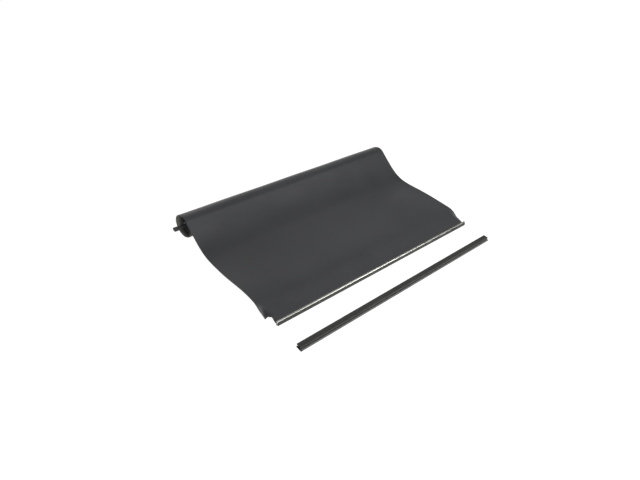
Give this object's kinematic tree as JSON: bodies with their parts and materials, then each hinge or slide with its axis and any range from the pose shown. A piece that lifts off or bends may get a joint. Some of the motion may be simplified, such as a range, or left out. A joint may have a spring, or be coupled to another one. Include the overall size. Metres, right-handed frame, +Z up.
{
  "type": "tonneau cover",
  "caption": "Soft roll-up truck bed cover, partly unrolled: vinyl sheet between a front header bar and a rolled-in rear bar with sprung side latches, plus a loose bulkhead rail.",
  "frame": {"origin": "middle of the footprint of the whole part, on the plane that the header, the roll and the rail stand on", "axes": "+X across the truck bed, +Y from the header towards the roll (towards the tailgate), +Z up"},
  "size_m": [1.684, 1.106, 0.131],
  "materials": {
    "vinyl": "matt charcoal vinyl-coated cloth with a fine leather grain",
    "mill_aluminium": "bright mill-finish extrusion",
    "black_aluminium": "satin black powder coat",
    "black_plastic": "fine-textured moulded nylon",
    "rubber": "matt extruded rubber",
    "gray_rubber": "smooth gray extruded trim",
    "hook_tape": "hook-and-loop tape",
    "cord": "plain welt cord",
    "steel": "zinc-plated"
  },
  "bodies": {
    "header": {"header_bar": "mill_aluminium", "header_seal": "rubber", "front_keder": "cord", "sheet_flat": "vinyl", "hook_tape_left": "hook_tape", "hook_tape_right": "hook_tape"},
    "carriage": {"sheet_drape": "vinyl", "drape_hook_tape_left": "hook_tape", "drape_hook_tape_right": "hook_tape", "sheet_outer_wrap": "vinyl"},
    "roll_core": {"sheet_inner_wraps": "vinyl", "rear_bar": "mill_aluminium", "rear_keder_track": "mill_aluminium", "rear_keder": "cord", "tailgate_seal": "rubber", "rear_end_casting_left": "black_plastic", "rear_end_casting_right": "black_plastic", "casting_screw_left_front": "steel", "casting_screw_left_rear": "steel", "casting_screw_right_front": "steel", "casting_screw_right_rear": "steel", "spring_seat_left": "black_plastic", "spring_seat_right": "black_plastic", "cross_bow": "mill_aluminium", "bow_cap_left": "black_plastic", "bow_cap_right": "black_plastic", "latch_spring_left": "steel", "latch_spring_right": "steel"},
    "latch_left": {"latch_bolt_left": "black_plastic", "latch_knob_left": "black_plastic"},
    "latch_right": {"latch_bolt_right": "black_plastic", "latch_knob_right": "black_plastic"},
    "rail": {"bulkhead_rail": "black_aluminium", "rail_trim_strip": "gray_rubber"}
  },
  "joints": [
    {"name": "roll_travel", "type": "slide", "parent": "header", "child": "carriage", "axis": [0, -1, 0], "range_m": [0, 0.3], "deforming": ["sheet_flat", "hook_tape_left", "hook_tape_right"]},
    {"name": "roll_turn", "type": "hinge", "parent": "carriage", "child": "roll_core", "pos_m": [0, 0.47601, 0.0625], "axis": [-1, 0, 0], "range_deg": [0, 265]},
    {"name": "latch_left_slide", "type": "slide", "parent": "roll_core", "child": "latch_left", "axis": [1, 0, 0], "range_m": [0, 0.022], "stiffness_N_per_m": 600, "springref_m": -0.01, "deforming": ["latch_spring_left"]},
    {"name": "latch_right_slide", "type": "slide", "parent": "roll_core", "child": "latch_right", "axis": [-1, 0, 0], "range_m": [0, 0.022], "stiffness_N_per_m": 600, "springref_m": -0.01, "deforming": ["latch_spring_right"]},
    {"name": "rail_seating", "type": "slide", "parent": "header", "child": "rail", "axis": [0, 1, 0], "range_m": [0, 0.1485]}
  ],
  "couplings": [
    {"joint": "roll_turn", "follows": "roll_travel", "rad_per_m": 15.2}
  ]
}
